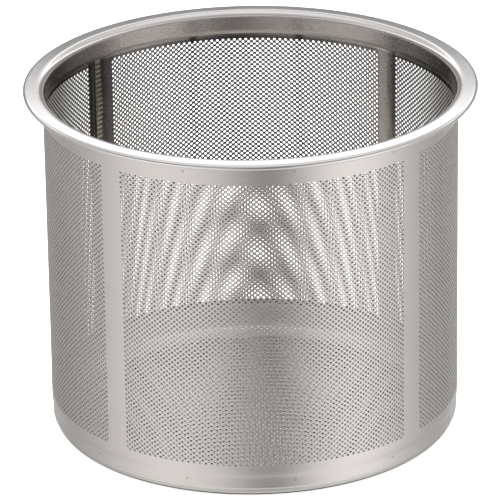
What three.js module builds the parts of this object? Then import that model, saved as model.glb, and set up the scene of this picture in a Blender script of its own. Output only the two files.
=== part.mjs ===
// Basket strainer: a straight-sided stainless basket with a flat flanged rim.
//
// Three pieces, spot-welded together:
//   rim_ring    one drawn ring: flat flange, outer edge rolled back under itself
//               as a hem, rounded shoulder and a short collar that drops inside
//               the wall
//   wall_sheet  one punched sheet rolled to a cylinder, its two ends lapped at a
//               vertical seam, its lower margin drawn in a little
//   base_pan    shallow drawn pan with an upturned skirt that fits inside the
//               wall's lower margin; its rounded corner shows below the wall
//
// Units are millimetres, +Z is up. The origin is the centre of the underside,
// on the plane that the basket stands on. Angles called "bearing" run from -Y
// (the front) towards +X, in degrees.
//
// The wall and the floor of the pan are punched all over with 1 mm holes. The
// solids here are the plain sheets, with the holes left filled.

import * as THREE from 'three';

// ---- driving dimensions -------------------------------------------------

const HEIGHT = 115.0;            // underside to the top of the flange

const FLANGE_R = 72.5;           // outer radius of the rim
const HEM_R = 0.9;               // outer radius of the rolled edge
const HEM_INNER_R = 68.9;        // inner end of the leg folded back under
const RIM_T = 0.5;               // sheet thickness of the rim ring
const SHOULDER_R = 2.4;          // top radius of the bend into the collar
const COLLAR_OUTER_R = 65.78;    // collar, outside face
const COLLAR_DROP = 7.4;         // collar's lower edge below the flange top

const WALL_T = 0.4;              // sheet thickness of the wall
// Outside radius of the wall at depths below the flange top. The plain lower
// margin is drawn in to grip the pan.
const WALL_PROFILE = [
  [3.0, 66.28],
  [40.0, 66.22],
  [90.0, 66.22],
  [105.0, 66.28],
  [106.9, 66.24],
  [108.3, 66.02],
  [112.0, 66.0],
];
const LAP_OUTER_END = 224.7;     // bearing of the sheet end that lies outside
const LAP_INNER_END = 230.3;     // bearing of the sheet end that lies inside
const LAP_BLEND_END = 234.0;     // bearing where the outer end is back in line
const LAP_GAP = 0.06;            // clearance between the two lapped layers

const PAN_OUTER_R = 65.5;        // skirt of the pan, outside face
const PAN_T = 0.5;               // sheet thickness of the pan
const PAN_CORNER_R = 2.5;        // outside radius of the pan's corner
const PAN_TOP = 9.4;             // height of the skirt's upper edge
const PAN_BORDER_R = 58.6;       // the plain border starts outside this radius

const SEGMENTS = 96;             // facets around each turned piece
const WALL_STEPS = 116;          // facets around the rolled sheet
const ARC_STEPS = 5;             // facets in each small bend

// ---- helpers --------------------------------------------------------------

const rad = (deg) => (deg * Math.PI) / 180;

// Points on an arc, from one angle to another, both ends included.
function arc(cx, cy, r, fromDeg, toDeg, steps = ARC_STEPS) {
  const points = [];
  for (let i = 0; i <= steps; i += 1) {
    const a = rad(fromDeg + ((toDeg - fromDeg) * i) / steps);
    points.push(new THREE.Vector2(cx + r * Math.cos(a), cy + r * Math.sin(a)));
  }
  return points;
}

// A turned piece from a profile of (radius, height) points.
function turned(points) {
  const geometry = new THREE.LatheGeometry(points, SEGMENTS);
  geometry.rotateX(Math.PI / 2);
  return geometry;
}

function steel(color, roughness) {
  return new THREE.MeshStandardMaterial({ color, roughness, metalness: 1.0 });
}

function part(name, geometry, material) {
  const mesh = new THREE.Mesh(geometry, material);
  mesh.name = name;
  return mesh;
}

// ---- rim ring -------------------------------------------------------------

function rimRing() {
  const shoulderCx = COLLAR_OUTER_R - RIM_T + SHOULDER_R;
  const shoulderCy = HEIGHT - SHOULDER_R;
  const hemCx = FLANGE_R - HEM_R;
  const hemCy = HEIGHT - HEM_R;
  const collarBottom = HEIGHT - COLLAR_DROP;
  const profile = [
    // outside of the collar, then the underside of the flange
    new THREE.Vector2(COLLAR_OUTER_R, collarBottom),
    ...arc(shoulderCx, shoulderCy, SHOULDER_R - RIM_T, 180, 90),
    // inside of the rolled edge and the top of the folded leg
    ...arc(hemCx, hemCy, HEM_R - RIM_T, 90, -90),
    new THREE.Vector2(HEM_INNER_R, hemCy - (HEM_R - RIM_T)),
    // the leg's underside and the outside of the rolled edge
    new THREE.Vector2(HEM_INNER_R, hemCy - HEM_R),
    ...arc(hemCx, hemCy, HEM_R, -90, 90, ARC_STEPS + 1),
    // top of the flange, the shoulder and the inside of the collar
    ...arc(shoulderCx, shoulderCy, SHOULDER_R, 90, 180),
    new THREE.Vector2(COLLAR_OUTER_R - RIM_T, collarBottom),
    new THREE.Vector2(COLLAR_OUTER_R, collarBottom),
  ];
  return turned(profile);
}

// ---- wall sheet -----------------------------------------------------------

const LOWER_R = WALL_PROFILE[WALL_PROFILE.length - 1][1];
const PATH_R = LOWER_R - WALL_T / 2;

// The middle of the sheet's thickness at its lower edge, seen from above: a
// circle whose outer end is lifted by one sheet thickness where it laps over
// the inner end.
class LappedCircle extends THREE.Curve {
  getPoint(t, target = new THREE.Vector3()) {
    const bearing = LAP_OUTER_END + t * (LAP_INNER_END + 360 - LAP_OUTER_END);
    let lift = 0;
    if (bearing < LAP_BLEND_END) {
      const from = LAP_INNER_END + 0.2;
      const s = Math.min(1, Math.max(0, (bearing - from) / (LAP_BLEND_END - from)));
      lift = (WALL_T + LAP_GAP) * 0.5 * (1 + Math.cos(Math.PI * s));
    }
    const r = PATH_R + lift;
    const a = rad(bearing);
    return target.set(r * Math.sin(a), -r * Math.cos(a), 0);
  }
}

// The sheet's cross-section as (height, distance out from the path), swept
// around the path.
function wallSheet() {
  const path = new LappedCircle();
  path.arcLengthDivisions = 2000;

  // The sweep lays the section's first axis down the height and its second
  // across the sheet. This finds which way each of them points.
  const frames = path.computeFrenetFrames(WALL_STEPS, false);
  const start = path.getPointAt(0);
  const up = Math.sign(frames.normals[0].z);
  const out = Math.sign(frames.binormals[0].dot(start));

  const outer = WALL_PROFILE.map(([drop, r]) => [HEIGHT - drop, r - PATH_R]);
  const inner = outer.map(([z, x]) => [z, x - WALL_T]);
  const section = [...outer, ...inner.reverse()];
  const shape = new THREE.Shape(section.map(([z, x]) => new THREE.Vector2(up * z, out * x)));
  return new THREE.ExtrudeGeometry(shape, {
    steps: WALL_STEPS,
    extrudePath: path,
    curveSegments: 1,
  });
}

// ---- base pan -------------------------------------------------------------

function basePan() {
  const cx = PAN_OUTER_R - PAN_CORNER_R;
  const cy = PAN_CORNER_R;
  const profile = [
    new THREE.Vector2(0, 0),
    new THREE.Vector2(PAN_BORDER_R, 0),
    ...arc(cx, cy, PAN_CORNER_R, -90, 0),
    new THREE.Vector2(PAN_OUTER_R, PAN_TOP),
    new THREE.Vector2(PAN_OUTER_R - PAN_T, PAN_TOP),
    ...arc(cx, cy, PAN_CORNER_R - PAN_T, 0, -90),
    new THREE.Vector2(0, PAN_T),
  ];
  return turned(profile);
}

// ---- assembly ---------------------------------------------------------------

const basket = new THREE.Group();
basket.name = 'basket_strainer';
basket.add(
  part('rim_ring', rimRing(), steel(0xd6d5d3, 0.28)),
  part('wall_sheet', wallSheet(), steel(0xc6c3c0, 0.34)),
  part('base_pan', basePan(), steel(0xc6c3c0, 0.34)),
);

export default basket;
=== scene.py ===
"""Basket strainer: punched stainless wall and floor under a flat flanged rim."""

import math

import bpy
import numpy as np
from mathutils import Matrix, Vector, geometry


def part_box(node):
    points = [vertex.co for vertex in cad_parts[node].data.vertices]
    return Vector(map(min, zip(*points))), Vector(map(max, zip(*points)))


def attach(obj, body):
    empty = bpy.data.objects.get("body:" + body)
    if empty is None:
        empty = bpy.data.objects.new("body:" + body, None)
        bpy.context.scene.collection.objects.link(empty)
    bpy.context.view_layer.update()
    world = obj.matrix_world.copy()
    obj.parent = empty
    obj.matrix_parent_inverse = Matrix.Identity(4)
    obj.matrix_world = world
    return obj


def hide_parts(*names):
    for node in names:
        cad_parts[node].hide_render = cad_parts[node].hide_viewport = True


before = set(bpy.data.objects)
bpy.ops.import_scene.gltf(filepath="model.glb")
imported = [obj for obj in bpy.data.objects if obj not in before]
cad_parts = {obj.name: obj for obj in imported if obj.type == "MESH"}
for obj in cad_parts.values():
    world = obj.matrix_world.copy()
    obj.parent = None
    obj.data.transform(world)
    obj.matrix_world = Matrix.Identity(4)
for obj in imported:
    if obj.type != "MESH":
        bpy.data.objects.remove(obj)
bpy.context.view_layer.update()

MM = 0.001

# ---- sizes that come from the frame, in millimetres -----------------------

low_rim, high_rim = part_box("rim_ring")
low_wall, high_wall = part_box("wall_sheet")
low_pan, high_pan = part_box("base_pan")

HEIGHT = high_rim.z / MM
FLANGE_R = high_rim.x / MM
COLLAR_END = low_rim.z / MM
WALL_TOP = high_wall.z / MM
WALL_LOW = low_wall.z / MM
PAN_UNDER = low_pan.z / MM
PAN_TOP = high_pan.z / MM
PAN_R = high_pan.x / MM

# ---- sheet and punching ---------------------------------------------------

WALL_T = 0.4
RIM_T = 0.5
PAN_T = 0.5
HOLE_R = 0.46
ROW = 0.8185                     # height of a half row
ROWS = 116
FIRST_ROW = HEIGHT - 9.44        # centre of the top row of holes
LAST_ROW = FIRST_ROW - ROW * (ROWS - 1)

# The wall's columns of holes, as (column number, bearing in degrees). Bearings
# run from -Y towards +X. Punched panels are 100 columns wide, with blank strips
# between them; the seam is in the widest strip.
COLUMN_AT = [
    (320 - 2, 223.09), (320 + 11, 233.63),
    (431, 314.87), (440, 322.32),
    (540, 404.93), (549, 412.26),
    (649, 493.26), (658, 500.68),
    (758, 583.13), (771, 593.63),
]
PANELS = [(331, 431), (440, 540), (549, 649), (658, 758)]
# The front panel's rows are staggered the other way round from the other panels'.
ROW_SHIFT_AT = [(431, 0.0), (440, 1.0), (540, 1.0), (549, 0.0)]
SHEET_START, SHEET_END = 320, 767
SECTOR_CUTS = [381, 436, 490, 544, 599, 653, 708]

WALL_PROFILE = [
    (3.0, 66.28), (40.0, 66.22), (90.0, 66.22), (105.0, 66.28), (106.9, 66.24),
    (108.3, 66.02), (112.0, 66.0),
]
LAP_BLEND_END = 234.0
LAP_GAP = 0.06

PAN_CORNER_R = 2.5
PAN_PUNCH_R = 58.0

HEM_R = 0.9
HEM_INNER_R = 68.9
SHOULDER_R = 2.4
COLLAR_R = 65.78
TOP_FALL = 0.030

rng = np.random.default_rng(7)


def smooth_interp(x, xp, fp, blur):
    """Piecewise-linear interpolation with its corners rounded."""
    x = np.asarray(x, float)
    out = np.zeros_like(x)
    offsets = np.linspace(-1, 1, 9)
    weights = (1 - offsets**2) + 1e-9
    for o, w in zip(offsets, weights):
        out += w * np.interp(x + o * blur, xp, fp)
    return out / weights.sum()


COL_K = np.array([c for c, _ in COLUMN_AT], float)
COL_B = np.array([b for _, b in COLUMN_AT], float)


def bearing_of(k):
    return np.interp(k, COL_K, COL_B)


def row_height(k, m):
    """Height of row m at column k. The rows aren't quite level: the sheet was rolled a
    few tenths of a millimetre out of true."""
    shift = np.interp(k, [c for c, _ in ROW_SHIFT_AT], [v for _, v in ROW_SHIFT_AT])
    row = np.asarray(m, float) - shift
    rear = 0.5 - 0.5 * np.cos(np.radians(bearing_of(k)))
    off = (1 - rear) * (0.05 - 0.0008 * (row - 27)) + rear * (-0.50 - 0.0038 * (row - 105))
    return LAST_ROW + ROW * (row + off), row


def wall_radius(z):
    drops = np.array([d for d, _ in WALL_PROFILE])
    radii = np.array([r for _, r in WALL_PROFILE])
    return smooth_interp(HEIGHT - np.asarray(z, float), drops, radii, 0.6)


def lap_lift(b):
    s = np.clip((b - 230.5) / (LAP_BLEND_END - 230.5), 0, 1)
    return (WALL_T + LAP_GAP) * 0.5 * (1 + np.cos(np.pi * s))


def rolled_waves(b, z):
    """The sheet isn't perfectly round: shallow waves from the rolling and welding."""
    a = np.radians(b)
    w = 0.020 * np.sin(3 * a + 0.6) + 0.012 * np.sin(7 * a + 1.9 + z * 0.01)
    w += 0.010 * np.sin(12 * a + 0.4) * np.exp(-((z - 6) / 10.0) ** 2)
    w += 0.008 * np.sin(z * 0.09 + 2 * a)
    return w


# ---- meshes ---------------------------------------------------------------

def new_object(name, verts, polys, material_index=None, smooth_angle=50.0):
    """An object from vertices in mm and polygons, as a list of equal-size index arrays."""
    mesh = bpy.data.meshes.new(name)
    verts = np.asarray(verts, np.float64) * MM
    loops, starts, totals, n = [], [], [], 0
    for p in polys:
        p = np.asarray(p, np.int32)
        if len(p) == 0:
            continue
        m = p.shape[1]
        loops.append(p.reshape(-1))
        starts.append(n + np.arange(len(p)) * m)
        totals.append(np.full(len(p), m))
        n += p.size
    loops = np.concatenate(loops)
    starts = np.concatenate(starts)
    totals = np.concatenate(totals)
    mesh.vertices.add(len(verts))
    mesh.vertices.foreach_set("co", verts.astype(np.float32).reshape(-1))
    mesh.loops.add(len(loops))
    mesh.loops.foreach_set("vertex_index", loops.astype(np.int32))
    mesh.polygons.add(len(starts))
    mesh.polygons.foreach_set("loop_start", starts.astype(np.int32))
    if material_index is not None:
        mesh.polygons.foreach_set("material_index", np.asarray(material_index, np.int32))
    mesh.update(calc_edges=True)
    mesh.validate(verbose=False)
    mesh.polygons.foreach_set("use_smooth", np.ones(len(mesh.polygons), bool))
    mesh.set_sharp_from_angle(angle=math.radians(smooth_angle))
    ob = bpy.data.objects.new(name, mesh)
    bpy.context.scene.collection.objects.link(ob)
    return ob


def boundary_edges(tris):
    """Directed edges that only one triangle uses."""
    e = np.concatenate([tris[:, [0, 1]], tris[:, [1, 2]], tris[:, [2, 0]]]).astype(np.int64)
    n = int(e.max()) + 1
    key = e[:, 0] * n + e[:, 1]
    back = e[:, 1] * n + e[:, 0]
    return e[~np.isin(key, back)].astype(np.int64)


class Lattice:
    """A staggered lattice of punched holes, as a flat triangulation. Nodes sit where
    column + row is even; a node without a hole is a single vertex."""

    ANGLES = 15 + 30 * np.arange(12)

    def __init__(self, nodes, holes):
        self.index = {}
        self.nodes = np.asarray(nodes, np.int64)
        self.holes = np.asarray(holes, bool)
        k, m = self.nodes[:, 0], self.nodes[:, 1]
        self.k0, self.m0 = k.min() - 3, m.min() - 3
        grid = np.full((k.max() - self.k0 + 4, m.max() - self.m0 + 4), -1, np.int64)
        grid[k - self.k0, m - self.m0] = np.arange(len(k))
        self.grid = grid
        count = np.where(self.holes, 12, 1)
        start = np.concatenate([[0], np.cumsum(count)[:-1]])
        self.n_verts = int(count.sum())
        self.vid = start[:, None] + np.where(self.holes[:, None], np.arange(12)[None, :], 0)
        # each vertex's node and its place round the hole
        self.v_node = np.repeat(np.arange(len(k)), count)
        place = np.arange(self.n_verts) - start[self.v_node]
        a = np.radians(self.ANGLES[place % 12])
        on = self.holes[self.v_node]
        self.v_dx = np.where(on, np.cos(a), 0.0)
        self.v_dy = np.where(on, np.sin(a), 0.0)

    def at(self, dk, dm):
        k, m = self.nodes[:, 0] + dk - self.k0, self.nodes[:, 1] + dm - self.m0
        return self.grid[k, m]

    def triangles(self):
        """Triangles, and the node that owns each one."""
        v = self.vid
        here = np.arange(len(self.nodes))
        b, c, d = self.at(1, 1), self.at(0, 2), self.at(-1, 1)
        A = {a: i for i, a in enumerate(self.ANGLES)}
        tris, owner = [], []

        def add(mask, corners):
            own = here[mask]
            e = np.stack([v[n[mask], A[a]] for n, a in corners], 1)
            t = {
                4: ([0, 1, 2], [0, 2, 3]),
                6: ([0, 1, 2], [2, 3, 4], [4, 5, 0], [0, 2, 4]),
            }[e.shape[1]]
            for f in t:
                tris.append(e[:, f])
                owner.append(own)

        add(b >= 0, [(here, 15), (b, 225), (b, 195), (here, 45)])
        add(c >= 0, [(here, 75), (c, 285), (c, 255), (here, 105)])
        add(d >= 0, [(here, 135), (d, 345), (d, 315), (here, 165)])
        add((b >= 0) & (c >= 0), [(here, 45), (b, 195), (b, 165), (c, 315), (c, 285), (here, 75)])
        add((c >= 0) & (d >= 0), [(here, 105), (c, 255), (c, 225), (d, 15), (d, 345), (here, 135)])
        t = np.concatenate(tris)
        o = np.concatenate(owner)
        keep = (t[:, 0] != t[:, 1]) & (t[:, 1] != t[:, 2]) & (t[:, 2] != t[:, 0])
        return t[keep], o[keep]


def solid_from_sheet(name, tris, front, back, mats, uv_front, uv_back):
    """Closes a triangulated sheet into a solid: the front face, the back face and a
    wall along every open edge, which makes the holes' walls too."""
    used = np.unique(tris)
    new = np.full(used.max() + 1, -1, np.int64)
    new[used] = np.arange(len(used))
    t = new[tris]
    n = len(used)
    verts = np.concatenate([front[used], back[used]])
    edges = boundary_edges(t)
    side = np.stack([edges[:, 1], edges[:, 0], edges[:, 0] + n, edges[:, 1] + n], 1)
    polys = [t, t[:, ::-1] + n, side]
    index = np.concatenate([
        np.full(len(t), 0), np.full(len(t), 1), np.full(len(side), len(mats) - 1)])
    ob = new_object(name, verts, polys, index)
    for m in mats:
        ob.data.materials.append(m)
    # The map that finishes are baked to: outside in the left half, inside in the right
    # half, and the cut edges take their place on the outside.
    uf, ub = uv_front[used], uv_back[used]
    uv = np.concatenate([
        uf[t].reshape(-1, 2), ub[t[:, ::-1]].reshape(-1, 2), uf[side % n].reshape(-1, 2)])
    layer = ob.data.uv_layers.new(name="OFBake")
    if len(layer.data) == len(uv):
        layer.data.foreach_set("uv", uv.astype(np.float32).reshape(-1))
    return ob


def turned(name, profile, segments, mats, phase=0.0, material_index=None, smooth_angle=50.0,
           arc=None):
    """A turned solid from a closed profile of (radius, height) points, in order."""
    pts = np.asarray(profile, float)
    m = len(pts)
    a = np.radians(phase) + np.arange(segments) * 2 * np.pi / segments
    verts = np.stack([
        pts[None, :, 0] * np.sin(a)[:, None],
        -pts[None, :, 0] * np.cos(a)[:, None],
        np.broadcast_to(pts[None, :, 1], (segments, m)),
    ], -1).reshape(-1, 3)
    i = np.arange(segments)[:, None]
    j = np.arange(m)[None, :]
    i2, j2 = (i + 1) % segments, (j + 1) % m
    quad = np.stack([i * m + j, i2 * m + j, i2 * m + j2, i * m + j2], -1).reshape(-1, 4)
    # facing out needs the profile anticlockwise, seen with radius to the right and height up
    x, y = pts[:, 0], pts[:, 1]
    area = np.sum(x * np.roll(y, -1) - np.roll(x, -1) * y)
    if area < 0:
        quad = quad[:, ::-1]
    index = None if material_index is None else np.tile(np.asarray(material_index), segments)
    ob = new_object(name, verts, [quad], index, smooth_angle)
    for mat in mats:
        ob.data.materials.append(mat)
    # UV: round the piece by along the profile
    length = np.concatenate([[0], np.cumsum(np.hypot(*(np.roll(pts, -1, 0) - pts).T))])
    ii = np.repeat(np.arange(segments), m)
    jj = np.tile(np.arange(m), segments)
    cu = np.stack([ii, ii + 1, ii + 1, ii], 1) / segments
    cv = np.stack([length[jj], length[jj], length[jj + 1], length[jj + 1]], 1) / length[-1]
    if area < 0:
        cu, cv = cu[:, ::-1], cv[:, ::-1]
    layer = ob.data.uv_layers.new(name="OFBake")
    uv = np.stack([cu, cv], -1).reshape(-1, 2)
    if len(layer.data) == len(uv):
        layer.data.foreach_set("uv", uv.astype(np.float32).reshape(-1))
    return ob


def arc_points(cx, cy, r, a0, a1, steps):
    a = np.radians(np.linspace(a0, a1, steps + 1))
    return [(cx + r * math.cos(t), cy + r * math.sin(t)) for t in a]


# ---- materials ------------------------------------------------------------

def node(nt, kind, **inputs):
    n = nt.nodes.new(kind)
    for key, value in inputs.items():
        key = key.replace("_", " ")
        if key in n.inputs:
            n.inputs[key].default_value = value
    return n


def steel(name, colour, rough, grain, grain_depth, mottling=0.06, cloud=0.05, warm=0.0,
          grain_axis="round", metallic=1.0):
    """Stainless steel. grain is the wavelength of the fine rolling lines in mm; they run
    round the piece, or along the height."""
    m = bpy.data.materials.new(name)
    m.use_nodes = True
    nt = m.node_tree
    nt.nodes.clear()
    out = nt.nodes.new("ShaderNodeOutputMaterial")
    bsdf = nt.nodes.new("ShaderNodeBsdfPrincipled")
    nt.links.new(bsdf.outputs["BSDF"], out.inputs["Surface"])
    bsdf.inputs["Metallic"].default_value = metallic
    geo = nt.nodes.new("ShaderNodeNewGeometry")
    sep = nt.nodes.new("ShaderNodeSeparateXYZ")
    nt.links.new(geo.outputs["Position"], sep.inputs[0])
    # place on the piece: along the grain, across it and out from the axis
    ang = nt.nodes.new("ShaderNodeMath"); ang.operation = "ARCTAN2"
    nt.links.new(sep.outputs["X"], ang.inputs[0])
    nt.links.new(sep.outputs["Y"], ang.inputs[1])
    rad = nt.nodes.new("ShaderNodeVectorMath"); rad.operation = "LENGTH"
    flat = nt.nodes.new("ShaderNodeCombineXYZ")
    nt.links.new(sep.outputs["X"], flat.inputs["X"])
    nt.links.new(sep.outputs["Y"], flat.inputs["Y"])
    nt.links.new(flat.outputs[0], rad.inputs[0])
    if grain_axis == "round":
        # lines run round: fine in height and radius, long in angle
        comb = nt.nodes.new("ShaderNodeCombineXYZ")
        s1 = nt.nodes.new("ShaderNodeMath"); s1.operation = "MULTIPLY"; s1.inputs[1].default_value = 0.066 * 18
        nt.links.new(ang.outputs[0], s1.inputs[0])
        s2 = nt.nodes.new("ShaderNodeMath"); s2.operation = "MULTIPLY"; s2.inputs[1].default_value = 1000 / grain
        nt.links.new(sep.outputs["Z"], s2.inputs[0])
        s3 = nt.nodes.new("ShaderNodeMath"); s3.operation = "MULTIPLY"; s3.inputs[1].default_value = 1000 / grain
        nt.links.new(rad.outputs["Value"], s3.inputs[0])
        nt.links.new(s1.outputs[0], comb.inputs["X"])
        nt.links.new(s2.outputs[0], comb.inputs["Y"])
        nt.links.new(s3.outputs[0], comb.inputs["Z"])
    elif grain_axis == "up":
        comb = nt.nodes.new("ShaderNodeCombineXYZ")
        s1 = nt.nodes.new("ShaderNodeMath"); s1.operation = "MULTIPLY"; s1.inputs[1].default_value = 66.0 / grain
        nt.links.new(ang.outputs[0], s1.inputs[0])
        s2 = nt.nodes.new("ShaderNodeMath"); s2.operation = "MULTIPLY"; s2.inputs[1].default_value = 30.0
        nt.links.new(sep.outputs["Z"], s2.inputs[0])
        nt.links.new(s1.outputs[0], comb.inputs["X"])
        nt.links.new(s2.outputs[0], comb.inputs["Y"])
    else:
        comb = nt.nodes.new("ShaderNodeCombineXYZ")
        s1 = nt.nodes.new("ShaderNodeMath"); s1.operation = "MULTIPLY"; s1.inputs[1].default_value = 1000 / grain
        nt.links.new(sep.outputs["X"], s1.inputs[0])
        s2 = nt.nodes.new("ShaderNodeMath"); s2.operation = "MULTIPLY"; s2.inputs[1].default_value = 30.0
        nt.links.new(sep.outputs["Y"], s2.inputs[0])
        nt.links.new(s1.outputs[0], comb.inputs["X"])
        nt.links.new(s2.outputs[0], comb.inputs["Y"])
    lines = node(nt, "ShaderNodeTexNoise", Scale=1.0, Detail=3.0, Roughness=0.6)
    nt.links.new(comb.outputs[0], lines.inputs["Vector"])
    clouds = node(nt, "ShaderNodeTexNoise", Scale=45.0, Detail=3.0, Roughness=0.55)
    nt.links.new(geo.outputs["Position"], clouds.inputs["Vector"])
    speck = node(nt, "ShaderNodeTexNoise", Scale=900.0, Detail=2.0, Roughness=0.5)
    nt.links.new(geo.outputs["Position"], speck.inputs["Vector"])

    # roughness: base, lines and clouds
    r1 = nt.nodes.new("ShaderNodeMapRange")
    r1.inputs["From Min"].default_value, r1.inputs["From Max"].default_value = 0.3, 0.7
    r1.inputs["To Min"].default_value, r1.inputs["To Max"].default_value = rough - mottling, rough + mottling
    nt.links.new(lines.outputs["Fac"], r1.inputs["Value"])
    r2 = nt.nodes.new("ShaderNodeMapRange")
    r2.inputs["From Min"].default_value, r2.inputs["From Max"].default_value = 0.3, 0.7
    r2.inputs["To Min"].default_value, r2.inputs["To Max"].default_value = -cloud, cloud
    nt.links.new(clouds.outputs["Fac"], r2.inputs["Value"])
    add = nt.nodes.new("ShaderNodeMath"); add.operation = "ADD"; add.use_clamp = True
    nt.links.new(r1.outputs[0], add.inputs[0])
    nt.links.new(r2.outputs[0], add.inputs[1])
    nt.links.new(add.outputs[0], bsdf.inputs["Roughness"])

    # colour: the steel, a little darker and warmer in the clouds
    mix = nt.nodes.new("ShaderNodeMix"); mix.data_type = "RGBA"
    dark = tuple(c * f for c, f in zip(colour, (0.93 + 0.02 * warm, 0.925, 0.915 - 0.03 * warm)))
    mix.inputs[6].default_value = (*dark, 1)
    mix.inputs[7].default_value = (*colour, 1)
    cm = nt.nodes.new("ShaderNodeMapRange")
    cm.inputs["From Min"].default_value, cm.inputs["From Max"].default_value = 0.35, 0.65
    both = nt.nodes.new("ShaderNodeMath"); both.operation = "MULTIPLY_ADD"
    both.inputs[1].default_value = 0.5
    half = nt.nodes.new("ShaderNodeMath"); half.operation = "MULTIPLY"; half.inputs[1].default_value = 0.5
    nt.links.new(clouds.outputs["Fac"], half.inputs[0])
    nt.links.new(lines.outputs["Fac"], both.inputs[0])
    nt.links.new(half.outputs[0], both.inputs[2])
    nt.links.new(both.outputs[0], cm.inputs["Value"])
    nt.links.new(cm.outputs[0], mix.inputs[0])
    nt.links.new(mix.outputs[2], bsdf.inputs["Base Color"])

    # bump: the rolling lines and a faint orange peel
    hsum = nt.nodes.new("ShaderNodeMath"); hsum.operation = "MULTIPLY_ADD"
    hsum.inputs[1].default_value = 0.25
    nt.links.new(speck.outputs["Fac"], hsum.inputs[0])
    nt.links.new(lines.outputs["Fac"], hsum.inputs[2])
    bump = nt.nodes.new("ShaderNodeBump")
    bump.inputs["Strength"].default_value = 1.0
    bump.inputs["Distance"].default_value = grain_depth * MM
    nt.links.new(hsum.outputs[0], bump.inputs["Height"])
    nt.links.new(bump.outputs["Normal"], bsdf.inputs["Normal"])
    return m


mat_wall_out = steel("wall_outside", (0.73, 0.691, 0.671), 0.31, 0.35, 0.0006, 0.04, 0.03)
# the inside of the sheet gets a much darker colour than its outside: painted shade inside the basket
mat_wall_in = steel("wall_inside", (0.36, 0.346, 0.333), 0.08, 0.35, 0.0003, 0.015, 0.015)
mat_rim = steel("rim_satin", (0.80, 0.785, 0.78), 0.13, 0.22, 0.0003, 0.02, 0.02)
mat_collar = steel("collar_inside", (0.82, 0.765, 0.74), 0.20, 0.50, 0.0001, 0.01, 0.02)
# the pan's pale, partly diffuse colour is painted light on its upward faces; faces pointing down are painted darker
# further below
mat_pan = steel("pan_satin", (0.92, 0.905, 0.885), 0.38, 0.35, 0.0006, 0.04, 0.03, grain_axis="flat",
                metallic=0.6)
mat_cut = steel("punched_edge", (0.62, 0.605, 0.59), 0.42, 0.2, 0.0008, 0.05, 0.05, grain_axis="up")
mat_weld = steel("weld_mark", (0.50, 0.475, 0.45), 0.42, 0.3, 0.0010, 0.05, 0.05, warm=1.0)


def span(nt, source, low, high, to_low=0.0, to_high=1.0):
    n = nt.nodes.new("ShaderNodeMapRange")
    n.interpolation_type = "SMOOTHSTEP"
    n.inputs["From Min"].default_value, n.inputs["From Max"].default_value = low, high
    n.inputs["To Min"].default_value, n.inputs["To Max"].default_value = to_low, to_high
    nt.links.new(source, n.inputs["Value"])
    return n.outputs[0]


def maths(nt, op, a, b=None):
    n = nt.nodes.new("ShaderNodeMath")
    n.operation = op
    for slot, v in ((0, a), (1, b)):
        if v is None:
            continue
        if isinstance(v, (int, float)):
            n.inputs[slot].default_value = v
        else:
            nt.links.new(v, n.inputs[slot])
    return n.outputs[0]


def blend(nt, fac, a, b, kind="MIX"):
    n = nt.nodes.new("ShaderNodeMix")
    n.data_type = "RGBA"
    n.blend_type = kind
    for slot, v in ((0, fac), (6, a), (7, b)):
        if isinstance(v, (int, float, tuple)):
            n.inputs[slot].default_value = v
        else:
            nt.links.new(v, n.inputs[slot])
    return n.outputs[2]


def place_of(nt):
    geo = nt.nodes.new("ShaderNodeNewGeometry")
    sep = nt.nodes.new("ShaderNodeSeparateXYZ")
    nt.links.new(geo.outputs["Position"], sep.inputs[0])
    return sep.outputs["X"], sep.outputs["Y"], sep.outputs["Z"]


def base_colour(mat):
    nt = mat.node_tree
    bsdf = next(n for n in nt.nodes if n.type == "BSDF_PRINCIPLED")
    slot = bsdf.inputs["Base Color"]
    return nt, slot, slot.links[0].from_socket


# inside the wall, painted light and shade standing in for reflections: one plain strip painted lighter, the lap
# painted darker on one side, the middle of the back painted darker, and the wall painted lighter low down and along
# its plain top margin; and the covered holes of the under layer showing as dim dots along the lap
nt, slot, was = base_colour(mat_wall_in)
px, py, pz = place_of(nt)
turn = maths(nt, "ARCTAN2", px, py)
# brightness factors by bearing: painted light and shade standing in for reflections on the inside
ring = nt.nodes.new("ShaderNodeValToRGB")
painted_light_by_bearing = [(-180, 0.85), (-53.8, 0.85), (-53.5, 1.0), (-48.2, 1.0), (-47.8, 0.62), (-43.2, 0.62),
        (-42.9, 0.85), (-34, 0.82), (-20, 0.60), (20, 0.60), (34, 0.82), (39.3, 0.85), (39.6, 2.0), (46.5, 2.0), (46.8, 0.85), (180, 0.85)]
rel = ring.color_ramp.elements
while len(rel) > 1:
    rel.remove(rel[-1])
rel[0].position, rel[0].color = 0.0, (painted_light_by_bearing[0][1],) * 3 + (1,)
for deg, v in painted_light_by_bearing[1:]:
    rel.new((deg + 180) / 360).color = (v, v, v, 1)
place = nt.nodes.new("ShaderNodeMapRange")
place.inputs["From Min"].default_value, place.inputs["From Max"].default_value = -math.pi, math.pi
nt.links.new(turn, place.inputs["Value"])
nt.links.new(place.outputs[0], ring.inputs[0])
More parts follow.
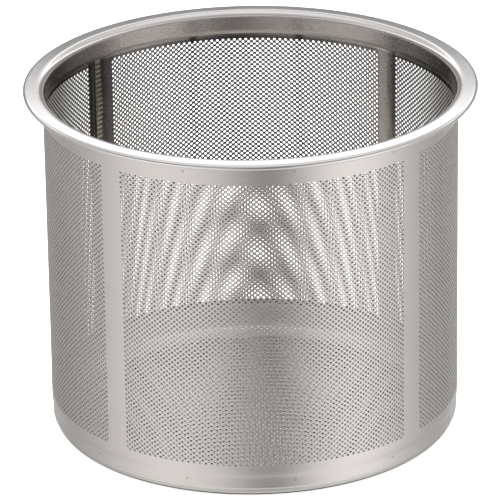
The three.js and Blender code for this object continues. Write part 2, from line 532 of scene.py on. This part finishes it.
# painted light by height: lighter low down, where the inside reflects the pan, and lighter along the plain top
# margin, matching the collar's reflection
painted_light_by_height = span(nt, pz, 0.046, 0.062, 1.9, 1.0)
toned = blend(nt, 1.0, was, ring.outputs[0], "MULTIPLY")
painted_light_by_height = maths(nt, "MULTIPLY", painted_light_by_height, span(nt, pz, 0.1063, 0.1069, 1.0, 2.1))
grey = nt.nodes.new("ShaderNodeCombineXYZ")
for axis in "XYZ":
    nt.links.new(painted_light_by_height, grey.inputs[axis])
toned = blend(nt, 1.0, toned, grey.outputs[0], "MULTIPLY")
ripple = maths(nt, "MULTIPLY", maths(nt, "SINE", maths(nt, "MULTIPLY", pz, 190.0)), 0.006)
edge = maths(nt, "ADD", turn, ripple)
cu = maths(nt, "COSINE", maths(nt, "MULTIPLY", turn, math.pi / math.radians(0.93)))
cv = maths(nt, "COSINE", maths(nt, "MULTIPLY", pz, math.pi / (ROW * MM)))
dots = span(nt, maths(nt, "MULTIPLY", cu, cv), 0.15, 0.55)
rungs = span(nt, cv, -0.1, 0.5)
in_dots = maths(nt, "MULTIPLY", span(nt, edge, math.radians(-53.6), math.radians(-53.4)),
                span(nt, edge, math.radians(-50.0), math.radians(-49.6), 1.0, 0.0))
in_rungs = maths(nt, "MULTIPLY", span(nt, edge, math.radians(-50.4), math.radians(-49.8)),
                 span(nt, edge, math.radians(-48.2), math.radians(-47.9), 1.0, 0.0))
toned = blend(nt, maths(nt, "MULTIPLY", dots, in_dots), toned, (0.86, 0.80, 0.62, 1))
toned = blend(nt, maths(nt, "MULTIPLY", rungs, in_rungs), toned, (0.92, 0.86, 0.66, 1))
nt.links.new(toned, slot)

# the pan is painted light and shade: its upward faces keep the pale, partly diffuse colour, and its outer corner and
# underside, wherever they face down, are painted darker and fully metallic
nt, slot, was = base_colour(mat_pan)
geo = nt.nodes.new("ShaderNodeNewGeometry")
sep = nt.nodes.new("ShaderNodeSeparateXYZ")
nt.links.new(geo.outputs["True Normal"], sep.inputs[0])
# mask of the faces that point down, which get the painted shade
under = span(nt, sep.outputs["Z"], 0.02, -0.02)
nt.links.new(blend(nt, under, was, (0.60, 0.585, 0.555, 1)), slot)
bsdf = next(n for n in nt.nodes if n.type == "BSDF_PRINCIPLED")
nt.links.new(maths(nt, "ADD", maths(nt, "MULTIPLY", under, 0.4), 0.6), bsdf.inputs["Metallic"])

# painted shade: the punched edges are painted darkest high up at the back
nt, slot, was = base_colour(mat_cut)
px, py, pz = place_of(nt)
painted_shade_high_back = maths(nt, "MULTIPLY", span(nt, py, 0.024, 0.056), span(nt, pz, 0.050, 0.060))
nt.links.new(blend(nt, painted_shade_high_back, was, (0.16, 0.155, 0.16, 1)), slot)

# ---- wall -----------------------------------------------------------------

def punched(k):
    return any(a <= k <= b for a, b in PANELS)


def build_wall():
    cols = np.arange(SHEET_START, SHEET_END + 1)
    in_panel = np.array([punched(int(k)) for k in cols])
    nodes, holes, node_y = [], [], []
    y_low, y_high = LAST_ROW - 1.5 * ROW, FIRST_ROW + 1.5 * ROW
    first, last = [], []
    for k, p in zip(cols, in_panel):
        shifted = 436 <= k <= 544
        lo = -1 if k % 2 else (0 if shifted else -2)
        hi = lo + 118
        first.append(lo)
        last.append(hi)
        for m in range(lo, hi + 1, 2):
            y, row = row_height(k, m)
            nodes.append((k, m))
            holes.append(bool(p) and lo < m < hi)
            node_y.append(y_low if m == lo else y_high if m == hi else float(y))
    lat = Lattice(nodes, holes)
    node_y = np.array(node_y)
    k = lat.nodes[lat.v_node, 0]
    mid_r = 66.4
    off = np.abs(bearing_of(k) % 360 - 180)
    radius = HOLE_R + 0.045 * np.clip((off - 42) / 12, 0, 1) * np.clip((112 - off) / 12, 0, 1)
    b = bearing_of(k) + np.degrees(lat.v_dx * radius / mid_r)
    z = node_y[lat.v_node] + lat.v_dy * radius
    r = wall_radius(z) + lap_lift(b) + rolled_waves(b, z)
    tris, owner = lat.triangles()
    owner_k = lat.nodes[owner, 0]

    # margins above and below the holes, as plain bands on the same columns
    low_id = np.full(len(cols), -1, np.int64)
    high_id = np.full(len(cols), -1, np.int64)
    for i, col in enumerate(cols):
        low_id[i] = lat.vid[lat.grid[col - lat.k0, first[i] - lat.m0], 0]
        high_id[i] = lat.vid[lat.grid[col - lat.k0, last[i] - lat.m0], 0]

    top_z = np.array([y_high + (WALL_TOP - y_high) * f for f in (0.2, 0.4, 0.6, 0.8, 0.94, 1.0)])
    band = [(float(wall_radius(v)), float(v), None) for v in top_z]

    # the lower margin: outside and inside points, down to a plain edge
    lower = []
    for v in (9.6, 9.0, 8.6, 8.3, 8.0, 7.7, 7.4, 7.1, 6.8, 6.4, 6.0, 5.2, 4.4, 3.6, WALL_LOW + 0.07):
        ro = float(wall_radius(v))
        lower.append(((ro, v), (ro - WALL_T, v)))
    ro = float(wall_radius(WALL_LOW))
    lower.append(((ro - 0.06, WALL_LOW), (ro - WALL_T + 0.04, WALL_LOW)))

    nb = len(cols)
    bcol = bearing_of(cols)
    lift = lap_lift(bcol)
    fr_b, fr_r, fr_z, bk_r, bk_z = [b], [r], [z], [r - WALL_T], [z]
    base = lat.n_verts
    rows_low, rows_high = [low_id], [high_id]
    extra = base
    for ro, v, _ in band:
        w = rolled_waves(bcol, v)
        fr_b.append(bcol); fr_r.append(ro + lift + w); fr_z.append(np.full(nb, v))
        bk_r.append(ro + lift + w - WALL_T); bk_z.append(np.full(nb, v))
        rows_high.append(extra + np.arange(nb)); extra += nb
    for (ro, v), (ri, vi) in lower:
        w = rolled_waves(bcol, v)
        lf = lift
        fr_b.append(bcol); fr_r.append(ro + lf + w); fr_z.append(np.full(nb, v))
        bk_r.append(ri + lf + w); bk_z.append(np.full(nb, vi))
        rows_low.append(extra + np.arange(nb)); extra += nb
    b = np.concatenate(fr_b); r = np.concatenate(fr_r); z = np.concatenate(fr_z)
    ri = np.concatenate(bk_r); zi = np.concatenate(bk_z)
    extra_t, extra_k = [], []
    for rows, up in ((rows_high, True), (rows_low, False)):
        for n in range(len(rows) - 1):
            a0, a1 = rows[n][:-1], rows[n][1:]
            b0, b1 = rows[n + 1][:-1], rows[n + 1][1:]
            kk = cols[:-1]
            if up:
                q = np.stack([a0, a1, b1, b0], 1)
            else:
                q = np.stack([a1, a0, b0, b1], 1)
            extra_t += [q[:, [0, 1, 2]], q[:, [0, 2, 3]]]
            extra_k += [kk, kk]
    tris = np.concatenate([tris] + extra_t)
    owner_k = np.concatenate([owner_k] + extra_k)

    a = np.radians(b)
    front = np.stack([r * np.sin(a), -r * np.cos(a), z], 1)
    back = np.stack([ri * np.sin(a), -ri * np.cos(a), zi], 1)

    made = []
    cuts = [SHEET_START - 1] + SECTOR_CUTS + [SHEET_END + 1]
    for n in range(len(cuts) - 1):
        mask = (owner_k > cuts[n]) & (owner_k <= cuts[n + 1])
        t = tris[mask]
        bb = b[np.unique(t)]
        u = (b - bb.min()) / (bb.max() - bb.min())
        v = z / HEIGHT
        uvf = np.stack([0.004 + 0.49 * u, 0.004 + 0.992 * v], 1)
        uvb = np.stack([0.506 + 0.49 * u, 0.004 + 0.992 * v], 1)
        ob = solid_from_sheet(f"wall_sheet_{n + 1}", t, front, back,
                              [mat_wall_out, mat_wall_in, mat_cut], uvf, uvb)
        made.append(ob)
    return made


# ---- pan ------------------------------------------------------------------

def build_pan():
    pitch_x, ring_r = 0.9475, 60.4
    kmax, mmax = int(62 / pitch_x) + 2, int(62 / ROW) + 2
    kk, mm = np.meshgrid(np.arange(-kmax, kmax + 1), np.arange(-mmax, mmax + 1), indexing="ij")
    keep = (kk + mm) % 2 == 0
    kk, mm = kk[keep], mm[keep]
    x, y = kk * pitch_x, mm * ROW
    rr = np.hypot(x, y)
    inside = rr < 59.4
    kk, mm, rr, x, y = kk[inside], mm[inside], rr[inside], x[inside], y[inside]
    lat = Lattice(np.stack([kk, mm], 1), rr < PAN_PUNCH_R)
    px = x[lat.v_node] + lat.v_dx * HOLE_R
    py = y[lat.v_node] + lat.v_dy * HOLE_R
    tris, owner = lat.triangles()
    # only whole triangles of the lattice; then the plain border is filled to a true ring
    edges = boundary_edges(tris)
    rim_edge = np.isin(edges, np.nonzero(lat.holes[lat.v_node])[0]).all(1)
    same = lat.v_node[edges[:, 0]] == lat.v_node[edges[:, 1]]
    outline = edges[~(rim_edge & same)]
    ring_n = 288
    ra = np.arange(ring_n) * 2 * np.pi / ring_n
    ring = np.stack([ring_r * np.sin(ra), -ring_r * np.cos(ra)], 1)
    ids = np.unique(outline)
    local = {int(v): i for i, v in enumerate(ids)}
    pts = [Vector((px[v], py[v])) for v in ids] + [Vector((p[0], p[1])) for p in ring]
    e = [(local[int(a)], local[int(b)]) for a, b in outline]
    e += [(len(ids) + i, len(ids) + (i + 1) % ring_n) for i in range(ring_n)]
    out = geometry.delaunay_2d_cdt(pts, e, [], 0, 1e-5, True)
    ov, of, orig = out[0], out[2], out[3]
    base = lat.n_verts
    glob = []
    for o in orig:
        i = o[0]
        glob.append(int(ids[i]) if i < len(ids) else base + i - len(ids))
    glob = np.array(glob)
    f = np.array(of, np.int64)
    ox = np.array([[v.x, v.y] for v in ov])
    cen = ox[f].mean(1)
    # keep the triangles between the outline and the ring
    oe = np.array([[local[int(a)], local[int(b)]] for a, b in outline])
    P = np.array([[p.x, p.y] for p in pts])
    a0, b0 = P[oe[:, 0]], P[oe[:, 1]]
    inside_poly = np.zeros(len(cen), bool)
    for i, c in enumerate(cen):
        cond = (a0[:, 1] > c[1]) != (b0[:, 1] > c[1])
        xx = a0[:, 0] + (c[1] - a0[:, 1]) / np.where(cond, b0[:, 1] - a0[:, 1], 1) * (b0[:, 0] - a0[:, 0])
        inside_poly[i] = (np.count_nonzero(cond & (c[0] < xx)) % 2) == 1
    border = glob[f[~inside_poly]]
    px = np.concatenate([px, ring[:, 0]])
    py = np.concatenate([py, ring[:, 1]])
    # make the border's triangles face up
    d1 = np.stack([px[border[:, 1]] - px[border[:, 0]], py[border[:, 1]] - py[border[:, 0]]], 1)
    d2 = np.stack([px[border[:, 2]] - px[border[:, 0]], py[border[:, 2]] - py[border[:, 0]]], 1)
    flip = (d1[:, 0] * d2[:, 1] - d1[:, 1] * d2[:, 0]) < 0
    border[flip] = border[flip][:, ::-1]
    all_t = np.concatenate([tris, border])
    cxm = px[all_t].mean(1)
    cym = py[all_t].mean(1)
    # gentle crown of the floor
    rr = np.hypot(px, py)
    crown = 0.10 * np.clip(1 - (rr / 58.0) ** 2, 0, 1) + 0.02 * np.sin(px * 0.11) * np.cos(py * 0.09) * np.clip(1 - rr / 58.0, 0, 1)
    top = np.stack([px, py, PAN_UNDER + PAN_T + crown], 1)
    under = np.stack([px, py, PAN_UNDER + crown], 1)
    made = []
    own_x = np.concatenate([x[owner], cxm[len(tris):]])
    for name, mask in (("pan_floor_left", own_x <= 0), ("pan_floor_right", own_x > 0)):
        u, v = (np.abs(px) / 62.0), (py + 62.0) / 124.0
        uvf = np.stack([0.004 + 0.49 * u, 0.004 + 0.992 * v], 1)
        uvb = np.stack([0.506 + 0.49 * u, 0.004 + 0.992 * v], 1)
        made.append(solid_from_sheet(name, all_t[mask], top, under, [mat_pan, mat_pan, mat_cut],
                                     uvf, uvb))

    # the plain ring, corner and skirt
    cx, cz = PAN_R - PAN_CORNER_R, PAN_UNDER + PAN_CORNER_R
    prof = [(ring_r, PAN_UNDER), (61.8, PAN_UNDER)]
    prof += arc_points(cx, cz, PAN_CORNER_R, -90, 0, 8)
    prof += [(PAN_R, 4.0), (PAN_R, 6.0), (PAN_R, PAN_TOP - 0.08), (PAN_R - 0.08, PAN_TOP),
             (PAN_R - PAN_T + 0.08, PAN_TOP), (PAN_R - PAN_T, PAN_TOP - 0.08), (PAN_R - PAN_T, 5.0)]
    prof += arc_points(cx, cz, PAN_CORNER_R - PAN_T, 0, -90, 8)
    prof += [(61.8, PAN_UNDER + PAN_T), (ring_r, PAN_UNDER + PAN_T)]
    made.append(turned("pan_skirt", prof, ring_n, [mat_pan]))
    return made


# ---- rim ------------------------------------------------------------------

def build_rim():
    scx, scz = COLLAR_R - RIM_T + SHOULDER_R, HEIGHT - SHOULDER_R
    hx, hz = FLANGE_R - HEM_R, HEIGHT - HEM_R
    bev = 0.02
    prof = [(COLLAR_R, COLLAR_END + bev)]
    prof += [(COLLAR_R, v) for v in (COLLAR_END + 1.5, COLLAR_END + 3.0, scz - 0.4)]
    prof += arc_points(scx, scz, SHOULDER_R - RIM_T, 180, 90, 10)
    prof += [(68.6, HEIGHT - RIM_T), (70.2, HEIGHT - RIM_T)]
    prof += arc_points(hx, hz, HEM_R - RIM_T, 90, -90, 12)
    prof += [(70.2, hz - HEM_R + RIM_T), (HEM_INNER_R + 0.06, hz - HEM_R + RIM_T), (HEM_INNER_R, hz - HEM_R + RIM_T - 0.06)]
    prof += [(HEM_INNER_R, hz - HEM_R + 0.06), (HEM_INNER_R + 0.06, hz - HEM_R), (70.2, hz - HEM_R)]
    prof += arc_points(hx, hz, HEM_R, -90, 90, 20)
    prof += [(70.9, HEIGHT - 0.004), (70.1, HEIGHT - 0.003), (69.2, HEIGHT - 0.001), (68.4, HEIGHT)]
    prof += arc_points(scx, scz, SHOULDER_R, 90, 180, 14)
    prof += [(COLLAR_R - RIM_T, v) for v in (scz - 0.4, COLLAR_END + 3.0, COLLAR_END + 1.5)]
    prof += [(COLLAR_R - RIM_T, COLLAR_END + bev), (COLLAR_R - RIM_T + bev, COLLAR_END), (COLLAR_R - bev, COLLAR_END)]
    # the flange's top falls away slightly towards its edge
    prof = [(r, z - TOP_FALL * max(0.0, r - 68.0)) if z > HEIGHT - 0.45 and r > 67.5 else (r, z)
            for r, z in prof]
    # the inside of the collar is duller than the flange
    inner = [1 if (prof[i][0] + prof[(i + 1) % len(prof)][0]) / 2 < COLLAR_R - RIM_T + 0.35
             and (prof[i][1] + prof[(i + 1) % len(prof)][1]) / 2 < HEIGHT - 1.2 else 0
             for i in range(len(prof))]
    return turned("rim_ring_formed", prof, 360, [mat_rim, mat_collar], material_index=inner)


# ---- spot welds -----------------------------------------------------------

def build_welds():
    """Small pressed marks of the spot welds, as low lens shapes: twelve on each of the
    wall's two bands, and twelve inside the collar."""
    verts, quads, tris = [], [], []
    n, rings = 16, [(0.0, -0.010), (0.20, -0.004), (0.34, 0.014), (0.44, 0.016), (0.52, -0.03)]
    rows = [(HEIGHT - 5.0, 1), (5.6, 1), (HEIGHT - 5.0, -1)]
    for height, side in rows:
        for i in range(12):
            b0 = 11.2 + 30 * i + rng.uniform(-0.5, 0.5)
            z0 = height + rng.uniform(-0.15, 0.15)
            if 222 < b0 < 236 and side > 0:
                b0 += 16
            a0 = math.radians(b0)

            def face(z):
                if side < 0:
                    return COLLAR_R - RIM_T
                return float(wall_radius(z)) + float(rolled_waves(np.array(b0), z))

            base_r = face(z0)
            base = len(verts)
            for rr, h in rings[1:]:
                for j in range(n):
                    t = 2 * math.pi * j / n
                    dx, dz = rr * math.cos(t), rr * math.sin(t)
                    r = face(z0 + dz) + side * h
                    a = a0 + side * dx / base_r
                    verts.append((r * math.sin(a), -r * math.cos(a), z0 + dz))
            for h in (rings[0][1] + 0.006, -0.10):
                r = base_r + side * h
                verts.append((r * math.sin(a0), -r * math.cos(a0), z0))
            c_out, c_in = len(verts) - 2, len(verts) - 1
            last = base + (len(rings) - 2) * n
            for j in range(n):
                j2 = (j + 1) % n
                tris.append((c_out, base + j, base + j2))
                for q in range(len(rings) - 2):
                    quads.append((base + q * n + j, base + (q + 1) * n + j,
                                  base + (q + 1) * n + j2, base + q * n + j2))
                tris.append((c_in, last + j2, last + j))
    return new_object("spot_welds", verts, [np.array(tris), np.array(quads)], None, 80)


wall_parts = build_wall()
for ob in wall_parts:
    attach(ob, "root")
    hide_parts("wall_sheet")

pan_parts = build_pan()
for ob in pan_parts:
    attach(ob, "root")
    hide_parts("base_pan")

rim = build_rim()
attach(rim, "root")
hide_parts("rim_ring")

welds = build_welds()
welds.data.materials.append(mat_weld)
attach(welds, "root")

# ---- stage ----------------------------------------------------------------

def stage_floor():
    mesh = bpy.data.meshes.new("floor")
    s = 6.0
    mesh.from_pydata([(-s, -s, 0), (s, -s, 0), (s, s, 0), (-s, s, 0)], [], [(0, 1, 2, 3)])
    ob = bpy.data.objects.new("floor", mesh)
    bpy.context.scene.collection.objects.link(ob)
    ob.location.z = -0.0002
    m = bpy.data.materials.new("floor_paper")
    m.use_nodes = True
    b = m.node_tree.nodes["Principled BSDF"]
    b.inputs["Base Color"].default_value = (0.93, 0.93, 0.93, 1)
    b.inputs["Roughness"].default_value = 0.9
    b.inputs["Specular IOR Level"].default_value = 0.1
    b.inputs["Emission Color"].default_value = (1, 1, 1, 1)
    b.inputs["Emission Strength"].default_value = 0.85
    mesh.materials.append(m)
    ob.visible_glossy = False
    return ob


floor = stage_floor()


def stage_shade():
    """The shaded patch of table under the strainer, as its polished corner reflects it."""
    mesh = bpy.data.meshes.new("table_shade")
    turns = [2 * math.pi * i / 96 for i in range(96)]
    mesh.from_pydata([(0.065 * math.cos(t), 0.065 * math.sin(t), 0) for t in turns], [], [tuple(range(96))])
    ob = bpy.data.objects.new("table_shade", mesh)
    bpy.context.scene.collection.objects.link(ob)
    ob.location.z = -0.0001
    m = bpy.data.materials.new("table_shade")
    m.use_nodes = True
    b = m.node_tree.nodes["Principled BSDF"]
    b.inputs["Base Color"].default_value = (0.03, 0.03, 0.03, 1)
    b.inputs["Roughness"].default_value = 0.9
    mesh.materials.append(m)
    ob.visible_camera = False
    ob.visible_diffuse = False
    ob.visible_shadow = False
    ob.visible_transmission = False
    return ob


shade = stage_shade()

world = bpy.data.worlds.new("studio")
bpy.context.scene.world = world
world.use_nodes = True
wn = world.node_tree
wn.nodes.clear()
w_out = wn.nodes.new("ShaderNodeOutputWorld")
bg = wn.nodes.new("ShaderNodeBackground")
wn.links.new(bg.outputs[0], w_out.inputs["Surface"])
coord = wn.nodes.new("ShaderNodeTexCoord")
sep = wn.nodes.new("ShaderNodeSeparateXYZ")
wn.links.new(coord.outputs["Generated"], sep.inputs[0])
azim = wn.nodes.new("ShaderNodeMath"); azim.operation = "ARCTAN2"
neg = wn.nodes.new("ShaderNodeMath"); neg.operation = "MULTIPLY"; neg.inputs[1].default_value = -1.0
wn.links.new(sep.outputs["Y"], neg.inputs[0])
wn.links.new(sep.outputs["X"], azim.inputs[0])
wn.links.new(neg.outputs[0], azim.inputs[1])
pos = wn.nodes.new("ShaderNodeMapRange")
pos.inputs["From Min"].default_value = -math.pi
pos.inputs["From Max"].default_value = math.pi
wn.links.new(azim.outputs[0], pos.inputs["Value"])
ramp = wn.nodes.new("ShaderNodeValToRGB")
ramp.color_ramp.interpolation = "EASE"
# brightness of the surroundings by bearing, -180 to 180
AROUND = [
    (-180, 0.72), (-155, 0.58), (-138, 0.48), (-120, 0.50), (-100, 0.60), (-82, 0.80),
    (-66, 0.97), (-50, 1.03), (-34, 0.99), (-20, 0.83), (-8, 0.58), (2, 0.32), (8, 0.26),
    (16, 0.34), (26, 0.67), (36, 0.98), (48, 1.17), (62, 1.21), (76, 1.01), (92, 0.73),
    (108, 0.57), (124, 0.49), (138, 0.53), (152, 0.70), (180, 0.72),
]
els = ramp.color_ramp.elements
while len(els) > 1:
    els.remove(els[-1])
els[0].position = 0.0
els[0].color = (AROUND[0][1],) * 3 + (1,)
for a, v in AROUND[1:]:
    e = els.new((a + 180) / 360)
    e.color = (v, v, v, 1)
wn.links.new(pos.outputs[0], ramp.inputs[0])
# above the horizon the surroundings are a bright tent: dim low down, brightest above
up = wn.nodes.new("ShaderNodeValToRGB")
up.color_ramp.interpolation = "EASE"
ABOVE = [(0.0, 0.32), (0.28, 0.30), (0.335, 0.36), (0.368, 1.15), (0.392, 1.75), (0.43, 1.45),
         (0.50, 0.85), (0.62, 0.66), (0.80, 0.78), (0.90, 0.95), (1.0, 1.0)]
uel = up.color_ramp.elements
while len(uel) > 1:
    uel.remove(uel[-1])
uel[0].position, uel[0].color = ABOVE[0][0], (ABOVE[0][1],) * 3 + (1,)
for p_, v in ABOVE[1:]:
    e = uel.new(p_)
    e.color = (v, v, v, 1)
wn.links.new(sep.outputs["Z"], up.inputs[0])
elev = wn.nodes.new("ShaderNodeMapRange")
elev.interpolation_type = "SMOOTHSTEP"
elev.inputs["From Min"].default_value = -0.12
elev.inputs["From Max"].default_value = 0.22
wn.links.new(sep.outputs["Z"], elev.inputs["Value"])
mix = wn.nodes.new("ShaderNodeMix"); mix.data_type = "RGBA"
wn.links.new(elev.outputs[0], mix.inputs[0])
wn.links.new(ramp.outputs[0], mix.inputs[6])
# and dimmer towards the camera's side
side = wn.nodes.new("ShaderNodeMapRange")
side.interpolation_type = "SMOOTHSTEP"
side.inputs["From Min"].default_value = -0.85
side.inputs["From Max"].default_value = 0.15
side.inputs["To Min"].default_value = 0.60
side.inputs["To Max"].default_value = 1.0
wn.links.new(sep.outputs["Y"], side.inputs["Value"])
upper = wn.nodes.new("ShaderNodeMix"); upper.data_type = "RGBA"; upper.blend_type = "MULTIPLY"
upper.inputs[0].default_value = 1.0
wn.links.new(up.outputs[0], upper.inputs[6])
wn.links.new(side.outputs[0], upper.inputs[7])
wn.links.new(upper.outputs[2], mix.inputs[7])
# straight below, the pale table
table = wn.nodes.new("ShaderNodeMapRange")
table.interpolation_type = "SMOOTHSTEP"
table.inputs["From Min"].default_value = -0.62
table.inputs["From Max"].default_value = -0.88
wn.links.new(sep.outputs["Z"], table.inputs["Value"])
mix_t = wn.nodes.new("ShaderNodeMix"); mix_t.data_type = "RGBA"
mix_t.inputs[7].default_value = (0.92, 0.92, 0.90, 1)
wn.links.new(table.outputs[0], mix_t.inputs[0])
wn.links.new(mix.outputs[2], mix_t.inputs[6])
# seen directly, the surroundings are plain white
path = wn.nodes.new("ShaderNodeLightPath")
mix2 = wn.nodes.new("ShaderNodeMix"); mix2.data_type = "RGBA"
mix2.inputs[7].default_value = (1.0, 1.0, 1.0, 1)
wn.links.new(path.outputs["Is Camera Ray"], mix2.inputs[0])
wn.links.new(mix_t.outputs[2], mix2.inputs[6])
wn.links.new(mix2.outputs[2], bg.inputs["Color"])
bg.inputs["Strength"].default_value = 1.0


def area(name, loc, target, size, power, glossy=True):
    light = bpy.data.lights.new(name, "AREA")
    light.shape = "DISK"
    light.size = size
    light.energy = power
    ob = bpy.data.objects.new(name, light)
    bpy.context.scene.collection.objects.link(ob)
    ob.location = loc
    ob.rotation_euler = (Vector(target) - Vector(loc)).to_track_quat("-Z", "Y").to_euler()
    ob.visible_glossy = glossy
    return ob


area("top_softbox", (0.0, 0.1, 0.9), (0, 0, 0), 1.0, 9.0, glossy=False)

# ---- camera ---------------------------------------------------------------

CAM_F, CAM_D, CAM_E, CAM_ROLL = 4484.175, 20.0, math.radians(22.9026), math.radians(0.87086)
CAM_TX, CAM_TZ = -0.010160, -0.805024
cam_data = bpy.data.cameras.new("camera")
cam_data.sensor_width = 36.0
cam_data.lens = CAM_F / 500 * 36.0
cam_data.clip_start = 0.05
cam_data.clip_end = 50
cam_data.shift_x = -0.001
cam_data.shift_y = 0.001
cam = bpy.data.objects.new("camera", cam_data)
bpy.context.scene.collection.objects.link(cam)
R = FLANGE_R * MM
loc = Vector((CAM_TX * R, -CAM_D * math.cos(CAM_E) * R, (CAM_D * math.sin(CAM_E) + CAM_TZ) * R + HEIGHT * MM))
right = Vector((1, 0, 0))
up = Vector((0, math.sin(CAM_E), math.cos(CAM_E)))
back = Vector((0, -math.cos(CAM_E), math.sin(CAM_E)))
basis = Matrix((right, up, back)).transposed().to_4x4()
cam.matrix_world = Matrix.Translation(loc) @ basis @ Matrix.Rotation(-CAM_ROLL, 4, "Z")
bpy.context.scene.camera = cam

scene = bpy.context.scene
scene.view_settings.view_transform = "Standard"
scene.view_settings.look = "None"
